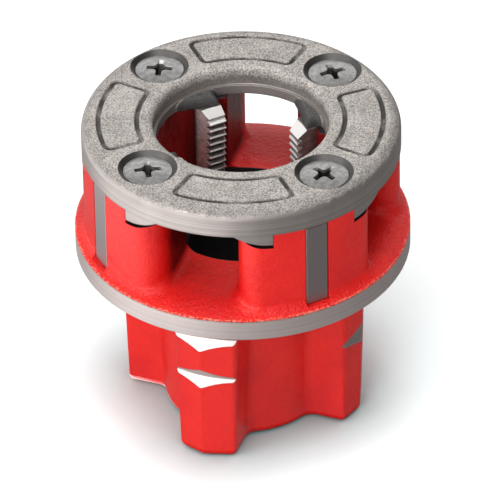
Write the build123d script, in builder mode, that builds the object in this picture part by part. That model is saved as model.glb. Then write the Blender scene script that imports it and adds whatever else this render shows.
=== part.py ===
from build123d import *
import math
import os

# Pipe threading die head for 3/4 inch taper pipe, millimetres.
# The axis of the pipe is Z. The origin is at the middle of the foot of the drive tube.
# The pipe enters the guide bore from below and meets the four dies under the cover.

os.makedirs("parts", exist_ok=True)

# Places round the axis, in degrees from +X
die_count = 4
die_angle = 27.3
screw_lead = 13.9
window_lead = 45.0
lug_lead = 41.9
screw_angle = die_angle + screw_lead
window_angle = die_angle + window_lead
lug_angle = die_angle + lug_lead
panel_angle = screw_angle + 180 / die_count

# How far every cutting shape runs past the face it cuts
cut_margin = 1.0

# Pipe and thread
pipe_radius = 13.45
thread_pitch = 1.814
thread_depth = 1.16
thread_half_angle = 30.0
thread_taper = 1 / 32
first_crest_radius = pipe_radius - thread_depth

# Drive tube and its four lugs
guide_clearance = 0.3
guide_radius = pipe_radius + guide_clearance
guide_entry = 1.2
tube_wall = 4.25
tube_radius = guide_radius + tube_wall
casting_draft = 1.5
lug_height = 9.25
lug_ridge_radius = tube_radius + lug_height
lug_flat_angle = 16.9
lug_leading_width = 5.8
lug_trailing_width = 7.0
lug_root_blend = 3.0
lug_corner_rounding = 0.7
foot_rounding = 2.2
lug_leading_setback = lug_leading_width * math.tan(math.radians(lug_flat_angle))
lug_trailing_setback = lug_trailing_width * math.tan(math.radians(lug_flat_angle))

# Detent grooves turned across the lugs
groove_depth = 1.0
groove_root_radius = lug_ridge_radius - groove_depth
groove_flank_angle = 58.0
groove_heights = (22.1, 32.8)

# Chamber round the pipe, and the cage round it that holds the dies
chip_room = 3.65
chamber_radius = guide_radius + chip_room
tower_depth = 17.6
cage_radius = chamber_radius + tower_depth

# Flange
flange_underside = 40.9
flange_band = 5.3
flange_overhang = 2.0
flange_radius = cage_radius + flange_overhang
flange_edge = 0.4
flange_top = flange_underside + flange_band

# Sills, die slots and towers
sill_rise = 1.8
sill_dome_width = 8.5
sill_flat_radius = flange_radius - sill_dome_width
sill_height = flange_top + sill_rise
slot_floor_rise = 0.5
slot_floor = flange_top + slot_floor_rise
chamber_drop = 3.0
chamber_floor = slot_floor - chamber_drop
cage_height = 20.6
cage_top = slot_floor + cage_height
window_width = 16.2
window_outer_rounding = 4.5
window_inner_rounding = 0.8
cage_root_blend = 2.5

# Dies
die_width = 5.5
die_clearance = 0.05
die_top_gap = 0.1
die_end_setback = 0.15
die_bevel_reach = 2.6
die_bevel_start = first_crest_radius + die_bevel_reach
die_bevel_drop = 1.8
die_throat_height = 3.4
die_throat_depth = 1.6
tooth_flat = 0.28
rake_length = 4.3
rake_start_radius = first_crest_radius + rake_length
rake_edge_offset = 1.0
die_end_chamfer = 0.3
die_top = cage_top - die_top_gap
die_outer_end = cage_radius - die_end_setback
land_top = die_top - die_bevel_drop
land_foot = slot_floor + die_throat_height

# Cover plate
cover_thickness = 6.6
cover_radius = cage_radius
cover_shoulder = 2.6
cover_top = cage_top + cover_thickness
cover_bore_step = 1.9
cover_bore_radius = chamber_radius + cover_bore_step
cover_bore_rounding = 1.2
ledge_width = 0.6
ledge_height = 2.2
ledge_radius = cover_bore_radius - ledge_width

# Fingers of the cover that reach in over the dies
finger_side = 2.4
finger_tip_reach = 4.0
finger_middle_reach = 2.5
finger_middle_side = 3.0
finger_tail_reach = 1.3
finger_tail_side = 9.0
finger_tip = ledge_radius - finger_tip_reach
finger_middle = (ledge_radius - finger_middle_reach, finger_middle_side)
finger_tail = (ledge_radius - finger_tail_reach, finger_tail_side)
finger_overlap = 2.4
finger_blend = 1.5
finger_corner = 0.6
finger_top_rounding = 1.5

# Feet under the rim of the cover, on both sides of each die
foot_start_angle = 16.5
foot_depth = 2.6
foot_arc_radius = 15.0
foot_width = 4.4
foot_inner_radius = cover_radius - foot_width
foot_back_clearance = 0.4
foot_side_clearance = 0.12
foot_floor_clearance = 0.9
foot_underside = cage_top - foot_depth

# Grooved panels on top of the cover
panel_from_bore = 2.8
panel_from_rim = 3.2
panel_inner_radius = cover_bore_radius + panel_from_bore
panel_outer_radius = cover_radius - panel_from_rim
panel_half_angle = 25.9
panel_corner = 2.0
panel_groove_width = 1.3
panel_groove_depth = 0.7
panel_groove_flank = 28.0

# Cover screws, countersunk, cross recess
screw_from_rim = 8.0
screw_circle_radius = cage_radius - screw_from_rim
screw_radius = 2.5
screw_length = 16.0
screw_point = 0.6
screw_rim = 0.15
screw_dome = 0.5
screw_head_radius = 5.5
screw_head_angle = 90.0
screw_hole_clearance = 0.2
tapping_clearance = 0.05
tapping_extra_depth = 2.0
countersink_radius = 6.4
recess_width = 6.0
recess_arm = 1.3
recess_corner = 1.0
recess_depth = 3.0
recess_half_angle = 24.0
recess_turns = (20, -8, 5, 45)

screw_cone_slope = math.tan(math.radians(screw_head_angle / 2))
screw_head_edge = cover_top - (countersink_radius - screw_head_radius) / screw_cone_slope
screw_top = screw_head_edge + screw_dome
screw_end = screw_top - screw_length


def radial_plane(angle, height):
    """Plane at a height with its x axis pointing outwards at an angle."""
    return Plane.XY.rotated((0, 0, angle)).offset(height)


def section_plane(angle, offset=0):
    """Upright plane through the axis at an angle, or beside it, with x outwards and y up."""
    out = Vector(math.cos(math.radians(angle)), math.sin(math.radians(angle)), 0)
    side = Vector(out.Y, -out.X, 0)
    return Plane(origin=side * offset, x_dir=out, z_dir=side)


def foot_plane(angle, side):
    """Upright plane square to the radius where a cover foot starts, x pointing away from the die."""
    turn = math.radians(angle + side * foot_start_angle)
    out = Vector(math.cos(turn), math.sin(turn), 0)
    return Plane(origin=(0, 0, 0), x_dir=Vector(-out.Y * side, out.X * side, 0), z_dir=out * side)


def die_directions():
    """Angles of the four dies."""
    return [die_angle + 360 / die_count * index for index in range(die_count)]


def land_radius(height):
    """Radius of the tooth crests, which follow the taper of the pipe thread."""
    return first_crest_radius + (land_top - height) * thread_taper


# Room for the feet of the cover in the tower tops
with BuildPart() as notches:
    notch_floor = foot_underside - foot_floor_clearance
    notch_rim = cage_top + cut_margin
    notch_arc_radius = foot_arc_radius + foot_floor_clearance
    notch_reach = math.sqrt(notch_arc_radius**2 - (foot_arc_radius - foot_depth) ** 2)
    for angle in die_directions():
        for side in (1, -1):
            with BuildSketch(foot_plane(angle, side)):
                with BuildLine():
                    Line((-foot_side_clearance, notch_rim), (-foot_side_clearance, notch_floor))
                    Line((-foot_side_clearance, notch_floor), (0, notch_floor))
                    RadiusArc((0, notch_floor), (notch_reach, cage_top), -notch_arc_radius)
                    Line((notch_reach, cage_top), (notch_reach, notch_rim))
                    Line((notch_reach, notch_rim), (-foot_side_clearance, notch_rim))
                make_face()
            extrude(amount=side * (cage_radius + cut_margin))
    with BuildSketch(Plane.XY.offset(notch_floor - cut_margin)):
        Circle(foot_inner_radius - foot_back_clearance)
    extrude(amount=cage_top - notch_floor + 3 * cut_margin, mode=Mode.SUBTRACT)

# Drive tube with four lugs, one drafted casting outline
with BuildPart() as body:
    with BuildSketch() as foot_outline:
        Circle(tube_radius)
        with PolarLocations(0, die_count, start_angle=lug_angle):
            Polygon(
                (guide_radius, -lug_leading_width),
                (lug_ridge_radius - lug_leading_setback, -lug_leading_width),
                (lug_ridge_radius, 0),
                (lug_ridge_radius - lug_trailing_setback, lug_trailing_width),
                (guide_radius, lug_trailing_width),
                align=None,
            )
        lug_roots = foot_outline.vertices().filter_by(
            lambda v: abs(math.hypot(v.X, v.Y) - tube_radius) < 0.01
        )
        fillet(lug_roots, lug_root_blend)
        lug_corners = foot_outline.vertices().filter_by(
            lambda v: math.hypot(v.X, v.Y) > lug_ridge_radius - lug_trailing_setback
        )
        fillet(lug_corners, lug_corner_rounding)
    extrude(amount=flange_underside, taper=-casting_draft)
    fillet(body.faces().sort_by(Axis.Z)[0].edges(), foot_rounding)

    # Flange, domed towards its edge
    with BuildSketch(section_plane(window_angle)):
        with BuildLine():
            Polyline(
                (0, flange_underside - cut_margin),
                (tube_radius, flange_underside - cut_margin),
                (tube_radius, flange_underside),
                (flange_radius - flange_edge, flange_underside),
                (flange_radius, flange_underside + flange_edge),
                (flange_radius, flange_top),
            )
            TangentArc((sill_flat_radius, sill_height), (flange_radius, flange_top), tangent=(1, 0))
            Polyline((sill_flat_radius, sill_height), (0, sill_height), (0, flange_underside - cut_margin))
        make_face()
    revolve(axis=Axis.Z)

    # Four towers between the chip windows
    with BuildSketch(Plane.XY.offset(flange_top - cut_margin)) as cage_outline:
        Circle(cage_radius)
        Circle(chamber_radius, mode=Mode.SUBTRACT)
        with PolarLocations(0, die_count, start_angle=window_angle):
            Rectangle(2 * cage_radius, window_width, align=(Align.MIN, Align.CENTER), mode=Mode.SUBTRACT)
        wall_middle = (cage_radius + chamber_radius) / 2
        outer_corners = cage_outline.vertices().filter_by(lambda v: math.hypot(v.X, v.Y) > wall_middle)
        fillet(outer_corners, window_outer_rounding)
        inner_corners = cage_outline.vertices().filter_by(
            lambda v: math.hypot(v.X, v.Y) < chamber_radius + cut_margin
        )
        fillet(inner_corners, window_inner_rounding)
    extrude(amount=cage_top - flange_top + cut_margin)
    tower_roots = body.edges().filter_by(
        lambda e: flange_top + 0.2 < e.center().Z < sill_height + 0.1
        and math.hypot(e.center().X, e.center().Y) < cage_radius + 0.5
        and e.geom_type != GeomType.CIRCLE
    )
    fillet(tower_roots, cage_root_blend)

    # Guide bore with a lead-in, and the chamber over it
    with BuildSketch(section_plane(window_angle)):
        with BuildLine():
            Polyline(
                (0, 0),
                (guide_radius + guide_entry, 0),
                (guide_radius, guide_entry),
                (guide_radius, chamber_floor),
                (chamber_radius, chamber_floor),
                (chamber_radius, cage_top),
                (0, cage_top),
                close=True,
            )
        make_face()
    revolve(axis=Axis.Z, mode=Mode.SUBTRACT)

    # Slots for the dies
    with BuildSketch(Plane.XY.offset(slot_floor)):
        with PolarLocations(0, die_count, start_angle=die_angle):
            Rectangle(
                flange_radius + cut_margin, die_width + 2 * die_clearance, align=(Align.MIN, Align.CENTER)
            )
    extrude(amount=cage_height, mode=Mode.SUBTRACT)

    # Notches in the tower tops that take the feet of the cover
    add(notches.part, mode=Mode.SUBTRACT)

    # Tapped holes for the cover screws
    with BuildSketch(Plane.XY.offset(cage_top)):
        with PolarLocations(screw_circle_radius, die_count, start_angle=screw_angle):
            Circle(screw_radius + tapping_clearance)
    extrude(amount=-(cage_top - screw_end + tapping_extra_depth), mode=Mode.SUBTRACT)

    # Detent grooves across the lugs
    for groove_height in groove_heights:
        groove_reach = lug_ridge_radius + 3 * cut_margin
        half_mouth = (groove_reach - groove_root_radius) * math.tan(math.radians(groove_flank_angle))
        with BuildSketch(section_plane(window_angle)):
            with BuildLine():
                Polyline(
                    (groove_root_radius, groove_height),
                    (groove_reach, groove_height - half_mouth),
                    (groove_reach, groove_height + half_mouth),
                    close=True,
                )
            make_face()
        revolve(axis=Axis.Z, mode=Mode.SUBTRACT)

body.part.label = "body"
export_step(body.part, "parts/body.step")

# One finger of the cover, over a die that points along +X
with BuildPart() as finger:
    with BuildSketch(Plane.XY.offset(cage_top)) as finger_sketch:
        blend_start = math.sqrt((ledge_radius - finger_blend) ** 2 - (finger_side + finger_blend) ** 2)
        blend_reach = ledge_radius / (ledge_radius - finger_blend)
        blend_end = (blend_start * blend_reach, -(finger_side + finger_blend) * blend_reach)
        finger_root = ledge_radius + finger_overlap
        with BuildLine():
            Line((finger_root, blend_end[1]), blend_end)
            TangentArc((blend_start, -finger_side), blend_end, tangent=(1, 0))
            Line((blend_start, -finger_side), (finger_tip, -finger_side))
            ThreePointArc((finger_tip, -finger_side), finger_middle, finger_tail)
            Line(finger_tail, (finger_root, finger_tail[1]))
            Line((finger_root, finger_tail[1]), (finger_root, blend_end[1]))
        make_face()
        fillet(finger_sketch.vertices().sort_by_distance((finger_tip, -finger_side))[0], finger_corner)
    extrude(amount=ledge_height)
    finger_edges = finger.edges().filter_by(
        lambda e: e.center().Z > cage_top + ledge_height - 0.01
        and e.center().X < finger_tail[0] + 0.3
        and e.center().Y < finger_tail[1] - 0.1
    )
    fillet(finger_edges, finger_top_rounding)

# Cover plate
with BuildPart() as cover_plate:
    with BuildSketch(section_plane(window_angle)) as cover_section:
        with BuildLine():
            Polyline(
                (ledge_radius, cage_top),
                (foot_inner_radius, cage_top),
                (foot_inner_radius, foot_underside - cut_margin),
                (cover_radius, foot_underside - cut_margin),
                (cover_radius, cover_top),
                (cover_bore_radius, cover_top),
                (cover_bore_radius, cage_top + ledge_height),
                (ledge_radius, cage_top + ledge_height),
                close=True,
            )
        make_face()
        fillet(cover_section.vertices().sort_by_distance((cover_radius, cover_top))[0], cover_shoulder)
        bore_mouth = cover_section.vertices().sort_by_distance((cover_bore_radius, cover_top))[0]
        fillet(bore_mouth, cover_bore_rounding)
    revolve(axis=Axis.Z)

    # The rim under the plate is cut back to eight feet, two beside each die
    for angle in die_directions():
        with BuildSketch(radial_plane(angle, cage_top)):
            with BuildLine():
                gap_reach = cover_radius + 2 * cut_margin
                gap_half = gap_reach * math.tan(math.radians(foot_start_angle))
                Polyline((0, 0), (gap_reach, gap_half), (gap_reach, -gap_half), close=True)
            make_face()
        extrude(amount=-foot_depth - 2 * cut_margin, mode=Mode.SUBTRACT)
        for side in (1, -1):
            with BuildSketch(foot_plane(angle, side)):
                with BuildLine():
                    cut_foot = foot_underside - 2 * cut_margin
                    foot_reach = math.sqrt(foot_arc_radius**2 - (foot_arc_radius - foot_depth) ** 2)
                    cut_reach = cover_radius * math.sin(math.radians(180 / die_count - foot_start_angle))
                    Line((-cut_margin, cut_foot), (-cut_margin, foot_underside))
                    Line((-cut_margin, foot_underside), (0, foot_underside))
                    RadiusArc((0, foot_underside), (foot_reach, cage_top), -foot_arc_radius)
                    Line((foot_reach, cage_top), (cut_reach, cage_top))
                    Line((cut_reach, cage_top), (cut_reach, cut_foot))
                    Line((cut_reach, cut_foot), (-cut_margin, cut_foot))
                make_face()
            extrude(amount=side * (cover_radius + cut_margin), mode=Mode.SUBTRACT)

    with PolarLocations(0, die_count, start_angle=die_angle):
        add(finger.part)

    # Groove round each of the four bare panels
    for index in range(die_count):
        with BuildSketch(radial_plane(panel_angle + 360 / die_count * index, cover_top)) as panel_groove:
            with BuildLine():
                outer_arc = CenterArc((0, 0), panel_outer_radius, -panel_half_angle, 2 * panel_half_angle)
                inner_arc = CenterArc((0, 0), panel_inner_radius, -panel_half_angle, 2 * panel_half_angle)
                Line(outer_arc @ 0, inner_arc @ 0)
                Line(outer_arc @ 1, inner_arc @ 1)
            make_face()
            fillet(panel_groove.vertices(), panel_corner)
            offset(amount=-panel_groove_width, mode=Mode.SUBTRACT)
        extrude(amount=-panel_groove_depth, taper=panel_groove_flank, mode=Mode.SUBTRACT)

    # Countersunk screw holes
    with Locations((0, 0, cover_top)):
        with PolarLocations(screw_circle_radius, die_count, start_angle=screw_angle):
            CounterSinkHole(
                screw_radius + screw_hole_clearance,
                countersink_radius,
                counter_sink_angle=screw_head_angle,
            )
cover_plate.part.label = "cover_plate"
export_step(cover_plate.part, "parts/cover_plate.step")

# Four dies, each with its teeth a quarter pitch further up the right-hand thread
for index, angle in enumerate(die_directions()):
    with BuildPart() as die:
        with BuildSketch(section_plane(angle)):
            with BuildLine():
                Polyline(
                    (die_bevel_start, die_top),
                    (land_radius(land_top), land_top),
                    (land_radius(land_foot), land_foot),
                    (land_radius(slot_floor) + die_throat_depth, slot_floor),
                    (die_outer_end, slot_floor),
                    (die_outer_end, die_top),
                    close=True,
                )
            make_face()
            root_height = slot_floor + thread_pitch * index / die_count
            while root_height < die_top + thread_pitch:
                land = land_radius(root_height)
                half_slope = math.tan(math.radians(thread_half_angle))
                mouth = tooth_flat / 2 + (thread_depth + cut_margin) * half_slope
                with BuildLine():
                    Polyline(
                        (land + thread_depth, root_height - tooth_flat / 2),
                        (land + thread_depth, root_height + tooth_flat / 2),
                        (land - cut_margin, root_height + mouth),
                        (land - cut_margin, root_height - mouth),
                        close=True,
                    )
                make_face(mode=Mode.SUBTRACT)
                root_height += thread_pitch
        extrude(amount=die_width / 2, both=True)

        # Relief behind the cutting edge
        with BuildSketch(radial_plane(angle, slot_floor)):
            rake_slope = (die_width / 2 - rake_edge_offset) / (rake_start_radius - first_crest_radius)
            rake_foot = rake_edge_offset - rake_slope * 2 * cut_margin
            with BuildLine():
                Polyline(
                    (rake_start_radius, die_width / 2),
                    (first_crest_radius - 2 * cut_margin, rake_foot),
                    (first_crest_radius - 2 * cut_margin, die_width),
                    (rake_start_radius, die_width),
                    close=True,
                )
            make_face()
        extrude(amount=die_top - slot_floor, mode=Mode.SUBTRACT)
        outer_face = die.faces().sort_by(Axis((0, 0, 0), radial_plane(angle, 0).x_dir))[-1]
        chamfer(outer_face.edges(), die_end_chamfer)
    die.part.label = f"die_{index + 1}"
    export_step(die.part, f"parts/die_{index + 1}.step")

# Cross recess, the shape of the driver that fits it
with BuildPart() as recess:
    with BuildSketch(Plane.XZ):
        recess_foot = recess_width / 2 - recess_depth * math.tan(math.radians(recess_half_angle))
        with BuildLine():
            Polyline(
                (0, screw_top),
                (recess_width / 2, screw_top),
                (recess_foot, screw_top - recess_depth),
                (0, screw_top - recess_depth),
                close=True,
            )
        make_face()
    revolve(axis=Axis.Z)
    with BuildSketch(Plane.XY.offset(screw_top)) as cross:
        Rectangle(recess_width + cut_margin, recess_arm)
        Rectangle(recess_arm, recess_width + cut_margin)
        inner_corners = cross.vertices().filter_by(lambda v: math.hypot(v.X, v.Y) < recess_arm)
        fillet(inner_corners, recess_corner)
    extrude(amount=-recess_depth, mode=Mode.INTERSECT)

# Four countersunk screws, each left at the turn it was tightened to
for index in range(die_count):
    around = math.radians(screw_angle + 360 / die_count * index)
    screw_foot = (screw_circle_radius * math.cos(around), screw_circle_radius * math.sin(around), 0)
    with BuildPart() as cover_screw:
        with BuildSketch(Plane(origin=screw_foot, x_dir=(1, 0, 0), z_dir=(0, -1, 0))):
            with BuildLine():
                Polyline(
                    (0, screw_end),
                    (screw_radius - screw_point, screw_end),
                    (screw_radius, screw_end + screw_point),
                    (screw_radius, screw_head_edge - (screw_head_radius - screw_radius) / screw_cone_slope),
                    (screw_head_radius - screw_rim, screw_head_edge - screw_rim / screw_cone_slope),
                    (screw_head_radius - screw_rim, screw_head_edge),
                )
                TangentArc((0, screw_top), (screw_head_radius - screw_rim, screw_head_edge), tangent=(1, 0))
                Line((0, screw_top), (0, screw_end))
            make_face()
        revolve(axis=Axis(screw_foot, (0, 0, 1)))
        with Locations(Location(screw_foot, (0, 0, recess_turns[index]))):
            add(recess.part, mode=Mode.SUBTRACT)
    cover_screw.part.label = f"cover_screw_{index + 1}"
    export_step(cover_screw.part, f"parts/cover_screw_{index + 1}.step")
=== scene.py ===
import math

import bmesh
import bpy
from mathutils import Matrix, Vector

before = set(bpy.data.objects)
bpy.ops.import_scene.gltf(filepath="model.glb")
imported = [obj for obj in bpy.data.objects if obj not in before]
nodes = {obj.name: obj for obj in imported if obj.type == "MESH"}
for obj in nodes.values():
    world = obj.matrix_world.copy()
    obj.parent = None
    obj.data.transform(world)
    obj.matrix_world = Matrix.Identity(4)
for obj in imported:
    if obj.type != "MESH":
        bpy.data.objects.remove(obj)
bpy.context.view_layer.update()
scene = bpy.context.scene
mm = 0.001
print("frame loaded:", len(nodes), "pieces")


# camera, level with the photograph's view of the die head

cameraSetup = {
    "position": (1.519, -1204.783, 931.604),  # mm
    "target": (1.52, 0.0, 38.02),  # mm
    "roll": -0.92,  # degrees
    "lens": 488.1,
    "sensor": 36.0,
}


def aimCamera(setup):
    place = Vector(setup["position"]) * mm
    forward = (Vector(setup["target"]) * mm - place).normalized()
    right = forward.cross(Vector((0, 0, 1))).normalized()
    up = right.cross(forward)
    turn = math.radians(setup["roll"])
    right2 = right * math.cos(turn) + up * math.sin(turn)
    up2 = up * math.cos(turn) - right * math.sin(turn)
    data = bpy.data.cameras.new("camera")
    data.lens = setup["lens"]
    data.sensor_width = setup["sensor"]
    data.clip_start = 0.05
    camera = bpy.data.objects.new("camera", data)
    scene.collection.objects.link(camera)
    axes = Matrix((right2, up2, -forward)).transposed().to_4x4()
    camera.matrix_world = Matrix.Translation(place) @ axes
    scene.camera = camera


aimCamera(cameraSetup)
print("camera set")


# materials
# Lengths in these dictionaries are in mm. A pair is where a mask starts and where it is full, and a
# pair called a span is the same in levels of a noise.


class NodeDesk:
    # short calls for building a node tree

    def __init__(self, tree):
        self.tree = tree

    def locate(self):
        # place on the piece, height over the foot and distance from the pipe axis, in metres
        self.place = self.add("ShaderNodeTexCoord").outputs["Object"]
        self.across, self.along, self.height = self.split(self.place)
        self.radius = self.reach(self.across, self.along)
        return self

    def add(self, kind, **values):
        node = self.tree.nodes.new(kind)
        for key, value in values.items():
            setattr(node, key, value)
        return node

    def join(self, source, target):
        if isinstance(source, bpy.types.NodeSocket):
            self.tree.links.new(source, target)
        else:
            target.default_value = source

    def split(self, vector):
        node = self.add("ShaderNodeSeparateXYZ")
        self.join(vector, node.inputs[0])
        return tuple(node.outputs)

    def math(self, operation, a, b=0.0):
        node = self.add("ShaderNodeMath", operation=operation)
        self.join(a, node.inputs[0])
        self.join(b, node.inputs[1])
        return node.outputs[0]

    def plus(self, a, b):
        return self.math("ADD", a, b)

    def minus(self, a, b):
        return self.math("SUBTRACT", a, b)

    def times(self, first, *others):
        for other in others:
            first = self.math("MULTIPLY", first, other)
        return first

    def most(self, a, b):
        return self.math("MAXIMUM", a, b)

    def reach(self, across, along):
        squares = self.plus(self.math("POWER", across, 2), self.math("POWER", along, 2))
        return self.math("SQRT", squares)

    def step(self, value, span, levels=(0.0, 1.0)):
        # smooth between the two ends of the span, of which the first may be the greater
        node = self.add("ShaderNodeMapRange", interpolation_type="SMOOTHSTEP")
        self.join(value, node.inputs["Value"])
        for name, number in zip(("From Min", "From Max", "To Min", "To Max"), (*span, *levels)):
            node.inputs[name].default_value = number
        return node.outputs["Result"]

    def ramp(self, length, span, levels=(0.0, 1.0)):
        return self.step(length, (span[0] * mm, span[1] * mm), levels)

    def noise(self, lump, detail=3, rough=0.5, vector=None):
        node = self.add("ShaderNodeTexNoise")
        node.inputs["Scale"].default_value = 1 / (lump * mm)
        node.inputs["Detail"].default_value = detail
        node.inputs["Roughness"].default_value = rough
        self.join(vector or self.place, node.inputs["Vector"])
        return node.outputs["Fac"]

    def wander(self, lump, depth):
        # a length that strays up to half the depth either way
        return self.times(self.minus(self.noise(lump, rough=0.6), 0.5), depth * mm)

    def grains(self, lump):
        node = self.add("ShaderNodeTexVoronoi", feature="F1")
        node.inputs["Scale"].default_value = 1 / (lump * mm)
        self.join(self.place, node.inputs["Vector"])
        return node.outputs["Distance"]

    def latheLines(self, setup):
        # fine rings round the pipe axis, as a lathe tool leaves them
        node = self.add("ShaderNodeCombineXYZ")
        self.join(self.radius, node.inputs[0])
        self.join(self.height, node.inputs[1])
        rings = self.noise(setup["latheLine"], detail=2, rough=0.6, vector=node.outputs[0])
        patches = self.noise(setup["lathePatch"], detail=2)
        return self.blend(setup["lathePatchShare"], rings, patches)

    def mix(self, amount, a, b, **values):
        node = self.add("ShaderNodeMix", data_type="RGBA", **values)
        for source, number in ((amount, 0), (a, 6), (b, 7)):
            self.join(source, node.inputs[number])
        return node.outputs[2]

    def blend(self, amount, a, b):
        node = self.add("ShaderNodeMix", data_type="FLOAT")
        for source, number in ((amount, 0), (a, 2), (b, 3)):
            self.join(source, node.inputs[number])
        return node.outputs[0]

    def upward(self):
        # how far a face looks up: 1 for level, 0 for upright
        return self.split(self.add("ShaderNodeNewGeometry").outputs["True Normal"])[2]

    def openness(self, distance):
        node = self.add("ShaderNodeAmbientOcclusion")
        node.inputs["Distance"].default_value = distance * mm
        return node.outputs["AO"]

    def relief(self, height, setup):
        edge = self.add("ShaderNodeBevel", samples=6)
        edge.inputs["Radius"].default_value = setup["softEdge"] * mm
        node = self.add("ShaderNodeBump")
        node.inputs["Distance"].default_value = setup["relief"] * mm
        node.inputs["Strength"].default_value = 1.0
        self.join(height, node.inputs["Height"])
        self.join(edge.outputs["Normal"], node.inputs["Normal"])
        return node.outputs["Normal"]

    def fill(self, kind, **values):
        node = self.add(kind)
        for key, value in values.items():
            self.join(value, node.inputs[key])
        return node.outputs[0]

    def choose(self, amount, a, b):
        node = self.add("ShaderNodeMixShader")
        for source, number in ((amount, 0), (a, 1), (b, 2)):
            self.join(source, node.inputs[number])
        return node.outputs[0]


class Finish(NodeDesk):
    # a new material with one principled shader

    def __init__(self, name):
        self.material = bpy.data.materials.new(name)
        self.material.use_nodes = True
        super().__init__(self.material.node_tree)
        self.shader = self.tree.nodes["Principled BSDF"]
        self.locate()

    def set(self, **values):
        for key, value in values.items():
            self.join(value, self.shader.inputs[key.replace("_", " ")])


paintSetup = {
    "red": (0.82, 0.016, 0.011, 1),
    "deep": (0.69, 0.011, 0.011, 1),
    "toneLump": 12.0,
    "toneSpan": (0.35, 0.75),
    "turned": (0.60, 0.53, 0.51, 1),
    "turnedDark": (0.50, 0.435, 0.42, 1),
    "turnedSpan": (0.3, 0.7),
    "latheLine": 0.35,
    "lathePatch": 6.0,
    "lathePatchShare": 0.25,
    "bandRadius": (36.6, 36.64),
    "bandHeight": (46.01, 45.89),
    "bandLump": 0.8,
    "bandWander": 0.5,
    "grooveHeights": (22.1, 32.8),
    "grooveRoot": 26.25,
    "grooveFlank": 58,  # degrees
    "grooveEdge": (-0.12, -0.04),
    "lugReach": (28.1, 28.0),
    # chipped paint along the band's edge, lightened as a painted highlight
    "chipGlint": (0.86, 0.24, 0.16, 1),
    "chipHeight": 46.15,
    "chipSpread": (0.3, 0.1),
    "chipRadius": (36.3, 36.5),
    "chipLump": 0.6,
    "chipSpan": (0.46, 0.58),
    # painted shade on the chamber walls, and painted shadow in the pockets under the cover's feet
    "shade": (0.17, 0.005, 0.005, 1),
    "chamberRadius": (30.0, 25.5),
    "chamberHeight": (48.4, 49.6),
    "pocketShadow": (0.012, 0.01, 0.01, 1),
    "pocketRadius": (34.98, 34.9),
    "pocketHeight": (63.0, 63.4),
    "pocketFacing": (0.2, 0.35),
    # dark bare metal of the guide bore, with painted shade towards its bottom
    "boreMetal": (0.11, 0.075, 0.07, 1),
    "boreDepthShade": (0.035, 0.03, 0.03, 1),
    "boreRadius": (17.55, 17.45),
    "boreHeight": (48.6, 48.0),
    "boreShadeHeight": (50.0, 44.0),
    "metallic": 0.75,
    "paintRoughness": 0.31,
    "metalRoughness": 0.42,
    "specular": 0.32,
    "peelLump": 0.55,
    "peelShare": 0.6,
    "sandLump": 1.6,
    "sillLump": 0.9,
    "sillShare": 2.2,
    "sillTop": (48.5, 47.5),
    "sillFoot": (44.0, 45.0),
    "latheShare": 0.05,
    "relief": 0.19,
    "softEdge": 0.3,
}


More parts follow.
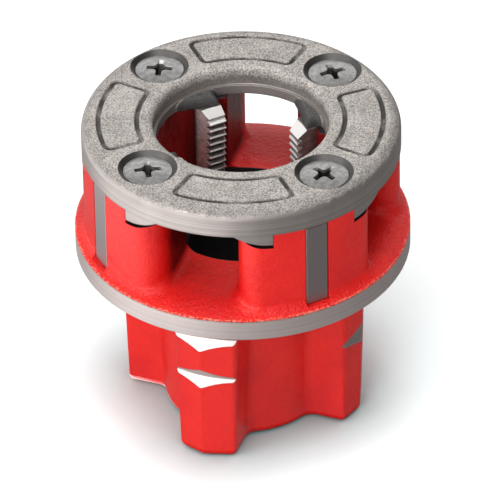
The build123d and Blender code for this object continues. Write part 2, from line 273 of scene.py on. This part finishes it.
def makePaint(setup):
    desk = Finish("red enamel over sand casting")
    level = desk.plus(desk.height, desk.wander(setup["bandLump"], setup["bandWander"]))
    rings = desk.latheLines(setup)

    # where the paint was turned away: the flange band, and the grooves across the lugs
    bare = desk.times(desk.ramp(desk.radius, setup["bandRadius"]),
                      desk.ramp(level, setup["bandHeight"]))
    slope = math.tan(math.radians(setup["grooveFlank"]))
    depth = desk.times(desk.minus(desk.radius, setup["grooveRoot"] * mm), slope)
    for grooveHeight in setup["grooveHeights"]:
        away = desk.math("ABSOLUTE", desk.minus(desk.height, grooveHeight * mm))
        groove = desk.times(desk.ramp(desk.minus(depth, away), setup["grooveEdge"]),
                            desk.ramp(desk.radius, setup["lugReach"]))
        bare = desk.most(bare, groove)
    turned = desk.mix(desk.step(rings, setup["turnedSpan"]), setup["turned"], setup["turnedDark"])

    # the red, with light specks along the band's upper edge: chipped paint, lightened as a painted
    # highlight where the ragged edge catches the light
    tone = desk.step(desk.noise(setup["toneLump"]), setup["toneSpan"])
    red = desk.mix(tone, setup["red"], setup["deep"])
    fromEdge = desk.math("ABSOLUTE", desk.minus(level, setup["chipHeight"] * mm))
    crumbs = desk.noise(setup["chipLump"], detail=2, rough=0.7)
    glintSpecks = desk.times(desk.ramp(fromEdge, setup["chipSpread"]),
                        desk.ramp(desk.radius, setup["chipRadius"]),
                        desk.step(crumbs, setup["chipSpan"]))
    red = desk.mix(glintSpecks, red, setup["chipGlint"])

    # painted shade: the chamber walls are darkened where the cover and towers shade them, and the
    # pockets under the feet of the cover are painted near black as the shadow in them
    chamber = desk.times(desk.ramp(desk.radius, setup["chamberRadius"]),
                         desk.ramp(desk.height, setup["chamberHeight"]))
    red = desk.mix(chamber, red, setup["shade"])
    pocket = desk.times(desk.ramp(desk.radius, setup["pocketRadius"]),
                        desk.ramp(desk.height, setup["pocketHeight"]),
                        desk.step(desk.upward(), setup["pocketFacing"]))
    red = desk.mix(pocket, red, setup["pocketShadow"])
    # the guide bore: dark bare metal, darker towards the bottom as painted shade deep in the bore
    bore = desk.times(desk.ramp(desk.radius, setup["boreRadius"]),
                      desk.ramp(desk.height, setup["boreHeight"]))
    boreMetal = desk.mix(desk.ramp(desk.height, setup["boreShadeHeight"]), setup["boreMetal"], setup["boreDepthShade"])

    metal = desk.most(bare, bore)
    desk.set(Base_Color=desk.mix(bore, desk.mix(bare, red, turned), boreMetal))
    desk.set(Metallic=desk.times(metal, setup["metallic"]), Specular_IOR_Level=setup["specular"])
    desk.set(Roughness=desk.blend(metal, setup["paintRoughness"], setup["metalRoughness"]))

    peel = desk.times(desk.noise(setup["peelLump"], rough=0.55), setup["peelShare"])
    sand = desk.noise(setup["sandLump"], rough=0.55)
    sill = desk.times(desk.ramp(desk.height, setup["sillTop"]),
                      desk.ramp(desk.height, setup["sillFoot"]))
    rough = desk.times(desk.noise(setup["sillLump"], rough=0.65), sill, setup["sillShare"])
    casting = desk.plus(desk.plus(peel, sand), rough)
    surface = desk.blend(metal, casting, desk.times(rings, setup["latheShare"]))
    desk.set(Normal=desk.relief(surface, setup))
    return desk.material


coverSetup = {
    "light": (0.645, 0.60, 0.56, 1),
    "dark": (0.245, 0.222, 0.205, 1),
    "sandLump": 0.37,
    "sandShare": 1.2,
    "pitLump": 0.407,
    "pitShare": -0.35,
    "patchLump": 4.0,
    "patchShare": 0.35,
    "skinSpan": (0.22, 0.62),
    "castInside": (19.1, 19.2),
    "castOutside": (34.9, 34.3),
    "castHeight": (69.6, 69.8),
    "castLump": 1.5,
    "castWander": 1.0,
    # painted shade in the countersinks
    "countersinkShade": (0.10, 0.095, 0.092, 1),
    "screwCircle": 27.0,
    "screwAngle": 41.2,  # degrees
    "countersink": (6.5, 6.4),
    # dirt and painted shade in the panel grooves
    "grooveDirtAndShade": (0.05, 0.045, 0.04, 1),
    "grooveHeight": (73.82, 73.45),
    "grooveInside": (20.8, 21.2),
    "grooveOutside": (32.6, 32.2),
    "dirtShadeLump": 5.0,
    "dirtShadeSpan": (0.36, 0.56),
    "dirtShadeLevels": (0.45, 0.94),
    # painted shade by the rim and on the lower bore wall
    "paintedShade": (0.13, 0.115, 0.105, 1),
    "marginRadius": (31.8, 34.0),
    "marginShare": 0.34,
    "lowWallHeight": (73.0, 71.6),
    "lowWallWander": 1.2,
    "lowWallShare": 0.75,
    "turned": (0.47, 0.425, 0.405, 1),
    "turnedDark": (0.33, 0.295, 0.275, 1),
    "turnedSpan": (0.3, 0.7),
    "latheLine": 0.3,
    "lathePatch": 6.0,
    "lathePatchShare": 0.25,
    "underside": (18.9, 18.3),
    "bore": (0.34, 0.325, 0.31, 1),
    "finger": (0.055, 0.053, 0.052, 1),
    "fingerSpan": (0.2, 0.6),
    "fingerHeight": (70.5, 69.0),
    "ledge": (0.75, 0.72, 0.68, 1),
    "ledgeRadius": (18.55, 18.65),
    "ledgeHeight": (69.2, 69.4),
    "ledgeLump": 1.2,
    "ledgeSpan": (0.36, 0.5),
    "turnedMetallic": 0.85,
    "castMetallic": 0.15,
    "turnedRoughness": 0.4,
    "castRoughness": 0.66,
    "latheShare": 0.04,
    "relief": 0.3,
    "softEdge": 0.3,
}


def distanceFromScrew(desk, setup):
    # the four screws are folded onto one
    turn = desk.add("ShaderNodeVectorRotate", rotation_type="Z_AXIS")
    turn.inputs["Angle"].default_value = -math.radians(setup["screwAngle"])
    desk.join(desk.place, turn.inputs["Vector"])
    across, along, _ = (desk.math("ABSOLUTE", side) for side in desk.split(turn.outputs[0]))
    outward = desk.minus(desk.most(across, along), setup["screwCircle"] * mm)
    return desk.reach(outward, desk.math("MINIMUM", across, along))


def makeCoverIron(setup):
    desk = Finish("grey iron, cast top and turned rim")
    countersinkShade = desk.ramp(distanceFromScrew(desk, setup), setup["countersink"])
    edge = desk.plus(desk.radius, desk.wander(setup["castLump"], setup["castWander"]))
    cast = desk.times(desk.ramp(desk.height, setup["castHeight"]),
                      desk.ramp(desk.radius, setup["castInside"]),
                      desk.ramp(edge, setup["castOutside"]), desk.minus(1.0, countersinkShade))

    # the sand cast skin: grit, dirt and painted shade in the panel grooves, and painted shade on a
    # margin by the rim and on the lower bore wall
    sand = desk.times(desk.noise(setup["sandLump"], rough=0.7), setup["sandShare"])
    pits = desk.times(desk.grains(setup["pitLump"]), setup["pitShare"])
    patches = desk.minus(desk.noise(setup["patchLump"], rough=0.6), 0.5)
    patches = desk.times(patches, setup["patchShare"])
    grit = desk.plus(desk.plus(sand, pits), patches)
    skin = desk.mix(desk.step(grit, setup["skinSpan"]), setup["dark"], setup["light"])
    dirtAndShade = desk.step(desk.noise(setup["dirtShadeLump"], detail=2), setup["dirtShadeSpan"],
                     setup["dirtShadeLevels"])
    groove = desk.times(desk.ramp(desk.height, setup["grooveHeight"]),
                        desk.ramp(desk.radius, setup["grooveInside"]),
                        desk.ramp(desk.radius, setup["grooveOutside"]), dirtAndShade)
    skin = desk.mix(groove, skin, setup["grooveDirtAndShade"])
    # painted shade: darker by the rim, and down the bore wall
    paintedShade = desk.times(desk.ramp(desk.radius, setup["marginRadius"]), setup["marginShare"])
    wallLevel = desk.plus(desk.height, desk.times(grit, setup["lowWallWander"] * mm))
    lowWallShade = desk.times(desk.ramp(wallLevel, setup["lowWallHeight"]), setup["lowWallShare"])
    skin = desk.mix(desk.most(paintedShade, lowWallShade), skin, setup["paintedShade"])

    # turned rim, dark fingers below the ledge, a light broken line on the ledge and painted shade
    # in the countersunk screw holes
    rings = desk.latheLines(setup)
    turned = desk.mix(desk.step(rings, setup["turnedSpan"]), setup["turned"], setup["turnedDark"])
    underside = desk.ramp(desk.radius, setup["underside"])
    wall = desk.mix(desk.step(grit, setup["fingerSpan"]), setup["finger"], setup["bore"])
    wall = desk.mix(desk.ramp(desk.height, setup["fingerHeight"]), wall, setup["finger"])
    turned = desk.mix(underside, turned, wall)
    lipBreaks = desk.noise(setup["ledgeLump"], detail=2, rough=0.6)
    lip = desk.times(underside, desk.ramp(desk.radius, setup["ledgeRadius"]),
                     desk.ramp(desk.height, setup["ledgeHeight"]),
                     desk.step(lipBreaks, setup["ledgeSpan"]))
    turned = desk.mix(lip, turned, setup["ledge"])
    turned = desk.mix(countersinkShade, turned, setup["countersinkShade"])

    dull = desk.most(cast, underside)
    desk.set(Base_Color=desk.mix(cast, turned, skin))
    desk.set(Metallic=desk.blend(dull, setup["turnedMetallic"], setup["castMetallic"]))
    desk.set(Roughness=desk.blend(dull, setup["turnedRoughness"], setup["castRoughness"]))
    surface = desk.blend(dull, desk.times(rings, setup["latheShare"]), grit)
    desk.set(Normal=desk.relief(surface, setup))
    return desk.material


dieSetup = {
    "flank": (0.33, 0.28, 0.27, 1),
    "flankDark": (0.22, 0.18, 0.175, 1),
    "grainLump": 1.2,
    "grainSpan": (0.35, 0.65),
    "end": (0.31, 0.27, 0.27, 1),
    "endRadius": (34.1, 34.2),
    # ground steel, made near-white partly as a painted highlight
    "groundGlint": (0.85, 0.83, 0.80, 1),
    "crestRadius": (12.9, 12.7),
    "leadRadius": (15.1, 15.0),
    "leadHeight": (64.5, 64.8),
    "leadFacing": (0.1, 0.2),
    "flankMetallic": 0.85,
    "groundMetallic": 0.5,
    "flankRoughness": 0.4,
    "groundRoughness": 0.3,
    "scratchLump": 0.3,
    "relief": 0.01,
    "softEdge": 0.15,
}


def makeDieSteel(setup):
    desk = Finish("hardened die steel")
    grain = desk.step(desk.noise(setup["grainLump"], rough=0.6), setup["grainSpan"])
    tone = desk.mix(grain, setup["flank"], setup["flankDark"])
    tone = desk.mix(desk.ramp(desk.radius, setup["endRadius"]), tone, setup["end"])
    # the crests of the teeth and the lead bevel over them are ground bright; their near-white
    # colour is partly a painted highlight
    lead = desk.times(desk.ramp(desk.radius, setup["leadRadius"]),
                      desk.ramp(desk.height, setup["leadHeight"]),
                      desk.step(desk.upward(), setup["leadFacing"]))
    groundGlint = desk.most(desk.ramp(desk.radius, setup["crestRadius"]), lead)
    desk.set(Base_Color=desk.mix(groundGlint, tone, setup["groundGlint"]))
    desk.set(Metallic=desk.blend(groundGlint, setup["flankMetallic"], setup["groundMetallic"]))
    desk.set(Roughness=desk.blend(groundGlint, setup["flankRoughness"], setup["groundRoughness"]))
    desk.set(Normal=desk.relief(desk.noise(setup["scratchLump"], detail=2, rough=0.6), setup))
    return desk.material


screwSetup = {
    "head": (0.50, 0.49, 0.48, 1),
    "headDark": (0.34, 0.33, 0.32, 1),
    "grainLump": 1.2,
    "grainSpan": (0.35, 0.65),
    # painted shade in the cross recess
    "recess": (0.07, 0.068, 0.065, 1),
    "recessHeight": (72.85, 72.45),
    "metallic": 0.8,
    "headRoughness": 0.31,
    "recessRoughness": 0.5,
    "dimpleLump": 0.5,
    "relief": 0.03,
    "softEdge": 0.2,
}


def makeScrewSteel(setup):
    desk = Finish("phosphated screw steel")
    grain = desk.step(desk.noise(setup["grainLump"], rough=0.6), setup["grainSpan"])
    tone = desk.mix(grain, setup["head"], setup["headDark"])
    # painted shade: the cross recess is coloured near black below its rim
    recess = desk.ramp(desk.height, setup["recessHeight"])
    desk.set(Base_Color=desk.mix(recess, tone, setup["recess"]), Metallic=setup["metallic"])
    desk.set(Roughness=desk.blend(recess, setup["headRoughness"], setup["recessRoughness"]))
    desk.set(Normal=desk.relief(desk.noise(setup["dimpleLump"], rough=0.6), setup))
    return desk.material


def dress(nodeName, material):
    data = nodes[nodeName].data
    data.materials.clear()
    data.materials.append(material)


dress("body", makePaint(paintSetup))
dress("cover_plate", makeCoverIron(coverSetup))
dieSteel = makeDieSteel(dieSetup)
screwSteel = makeScrewSteel(screwSetup)
for number in range(1, 5):
    dress(f"die_{number}", dieSteel)
    dress(f"cover_screw_{number}", screwSteel)
print("materials done")


# floor, backdrop and studio light

white = (1, 1, 1, 1)

floorSetup = {
    "size": 6.0,  # m
    "seen": (0.97, 1.0, 1.0, 1),
    "plain": (0.6, 0.6, 0.6, 1),  # as the part's own light sees it
    "glow": 0.20,
    "bounceReach": 50,
    "bounceTint": (0.60, 1.0, 1.0, 1),  # cool, against the red that the paint throws down
    "boreSpot": 15,
    "contactReach": 16,
    "contactShade": (0.16, 0.20, 0.20, 1),
    # in reflections: bright on the left, grey on the right and dark under the drive tube
    "sides": (-60, 70),
    "sideLevels": (1.5, 0.34),
    "rings": (45, 90),
    "ringLevels": (0.06, 1.0),
    "leftSides": (-30, -13),
    "leftSideLevels": (5.5, 0.0),
    "leftRings": (60, 85),
    "leftRingLevels": (1.0, 0.0),
}


def lightPath(desk, *kinds):
    # 1 for rays of any of the kinds named
    path = desk.add("ShaderNodeLightPath")
    total = path.outputs[kinds[0]]
    for kind in kinds[1:]:
        total = desk.most(total, path.outputs[kind])
    return total


def seenRays(desk):
    return lightPath(desk, "Is Camera Ray", "Is Glossy Ray", "Is Transmission Ray")


def makeFloor(setup):
    mesh = bpy.data.meshes.new("floor")
    bm = bmesh.new()
    bmesh.ops.create_grid(bm, x_segments=1, y_segments=1, size=setup["size"] / 2)
    bm.to_mesh(mesh)
    bm.free()
    floor = bpy.data.objects.new("floor", mesh)
    scene.collection.objects.link(floor)
    material = bpy.data.materials.new("floor white")
    material.use_nodes = True
    material.node_tree.nodes.clear()
    desk = NodeDesk(material.node_tree).locate()

    underBore = desk.math("LESS_THAN", desk.radius, setup["boreSpot"] * mm)
    bounce = desk.most(desk.openness(setup["bounceReach"]), underBore)
    contact = desk.openness(setup["contactReach"])
    colour = setup["seen"]
    for openness, tint in ((bounce, setup["bounceTint"]), (contact, setup["contactShade"])):
        colour = desk.mix(1.0, colour, desk.mix(openness, tint, white), blend_type="MULTIPLY")
    lit = desk.add("ShaderNodeAddShader")
    desk.join(desk.fill("ShaderNodeBsdfDiffuse", Color=colour), lit.inputs[0])
    glow = desk.times(contact, setup["glow"])
    desk.join(desk.fill("ShaderNodeEmission", Strength=glow), lit.inputs[1])
    plain = desk.fill("ShaderNodeBsdfDiffuse", Color=setup["plain"])
    surface = desk.choose(seenRays(desk), plain, lit.outputs[0])

    side = desk.ramp(desk.across, setup["sides"], setup["sideLevels"])
    ring = desk.ramp(desk.radius, setup["rings"], setup["ringLevels"])
    left = desk.times(desk.ramp(desk.across, setup["leftSides"], setup["leftSideLevels"]),
                      desk.ramp(desk.radius, setup["leftRings"], setup["leftRingLevels"]))
    reflected = desk.fill("ShaderNodeEmission", Strength=desk.times(side, desk.most(ring, left)))
    surface = desk.choose(lightPath(desk, "Is Glossy Ray"), surface, reflected)
    desk.join(surface, desk.add("ShaderNodeOutputMaterial").inputs[0])
    mesh.materials.append(material)


worldSetup = {
    "strength": 0.34,
    "seenStrength": 1.0,
}


def makeWorld(setup):
    world = bpy.data.worlds.new("studio")
    scene.world = world
    world.use_nodes = True
    desk = NodeDesk(world.node_tree)
    background = world.node_tree.nodes["Background"]
    background.inputs["Color"].default_value = white
    level = desk.blend(seenRays(desk), setup["strength"], setup["seenStrength"])
    desk.join(level, background.inputs["Strength"])


# lamps and cards, in metres, watts and degrees; only reflections see the cards

middle = (0, 0, 0.045)

softboxes = {
    "keyLeft": {"place": (-0.64, -0.36, 0.42), "size": (0.45, 0.45), "power": 3.0},
    "frontLeft": {"place": (-0.30, -0.75, 0.45), "size": (0.4, 0.4), "power": 2.9},
    "frontTop": {"place": (0.05, -0.45, 0.85), "size": (0.4, 0.3), "power": 1.2},
    "top": {"place": (0, 0, 0.9), "size": (0.5, 0.5), "power": 3.6},
}

cards = {
    "ceiling": {"glow": 0.12, "place": (0, 0.3, 1.3), "aim": (0, 0.3, 0),
                "size": (2.5, 2.0), "turn": 0},
    "rightSheet": {"glow": 0.2, "place": (0.238, -0.137, 0.002), "aim": (0.238, -0.137, 1.0),
                   "size": (0.44, 1.2), "turn": -30},
    "rightCard": {"glow": 0.02, "place": (0.45, 0, 0.3), "aim": (0, 0, 0.1),
                  "size": (1.2, 0.8), "turn": 0},
    "frontCard": {"glow": 0.02, "place": (0.15, -0.75, 0.75), "aim": (0, 0, 0.05),
                  "size": (0.7, 0.6), "turn": 0},
    "leftSheet": {"glow": 1.8, "place": (-0.236, -0.086, 0.002), "aim": (-0.236, -0.086, 1.0),
                  "size": (0.44, 0.7), "turn": 20},
}

cardBlack = (0.02, 0.02, 0.02, 1)


def placeFacing(thing, place, aim):
    direction = Vector(aim) - Vector(place)
    facing = direction.to_track_quat("-Z", "Y").to_matrix().to_4x4()
    thing.matrix_world = Matrix.Translation(place) @ facing


def addSoftbox(name, setup):
    data = bpy.data.lights.new(name, "AREA")
    data.shape = "RECTANGLE"
    data.size, data.size_y = setup["size"]
    data.energy = setup["power"]
    lamp = bpy.data.objects.new(name, data)
    scene.collection.objects.link(lamp)
    placeFacing(lamp, setup["place"], middle)


def addCard(name, setup):
    mesh = bpy.data.meshes.new(name)
    bm = bmesh.new()
    bmesh.ops.create_grid(bm, x_segments=1, y_segments=1, size=0.5)
    bmesh.ops.scale(bm, vec=(*setup["size"], 1), verts=bm.verts)
    turn = Matrix.Rotation(math.radians(setup["turn"]), 3, "Z")
    bmesh.ops.rotate(bm, matrix=turn, verts=bm.verts)
    bm.to_mesh(mesh)
    bm.free()
    card = bpy.data.objects.new(name, mesh)
    scene.collection.objects.link(card)
    placeFacing(card, setup["place"], setup["aim"])
    material = bpy.data.materials.new(name)
    material.use_nodes = True
    shader = material.node_tree.nodes["Principled BSDF"]
    shader.inputs["Base Color"].default_value = cardBlack
    shader.inputs["Emission Color"].default_value = white
    shader.inputs["Emission Strength"].default_value = setup["glow"]
    mesh.materials.append(material)
    for kind in ("camera", "diffuse", "shadow", "transmission", "volume_scatter"):
        setattr(card, "visible_" + kind, False)


makeFloor(floorSetup)
makeWorld(worldSetup)
for name, setup in softboxes.items():
    addSoftbox(name, setup)
for name, setup in cards.items():
    addCard(name, setup)
scene.view_settings.view_transform = "Standard"
print("studio done")
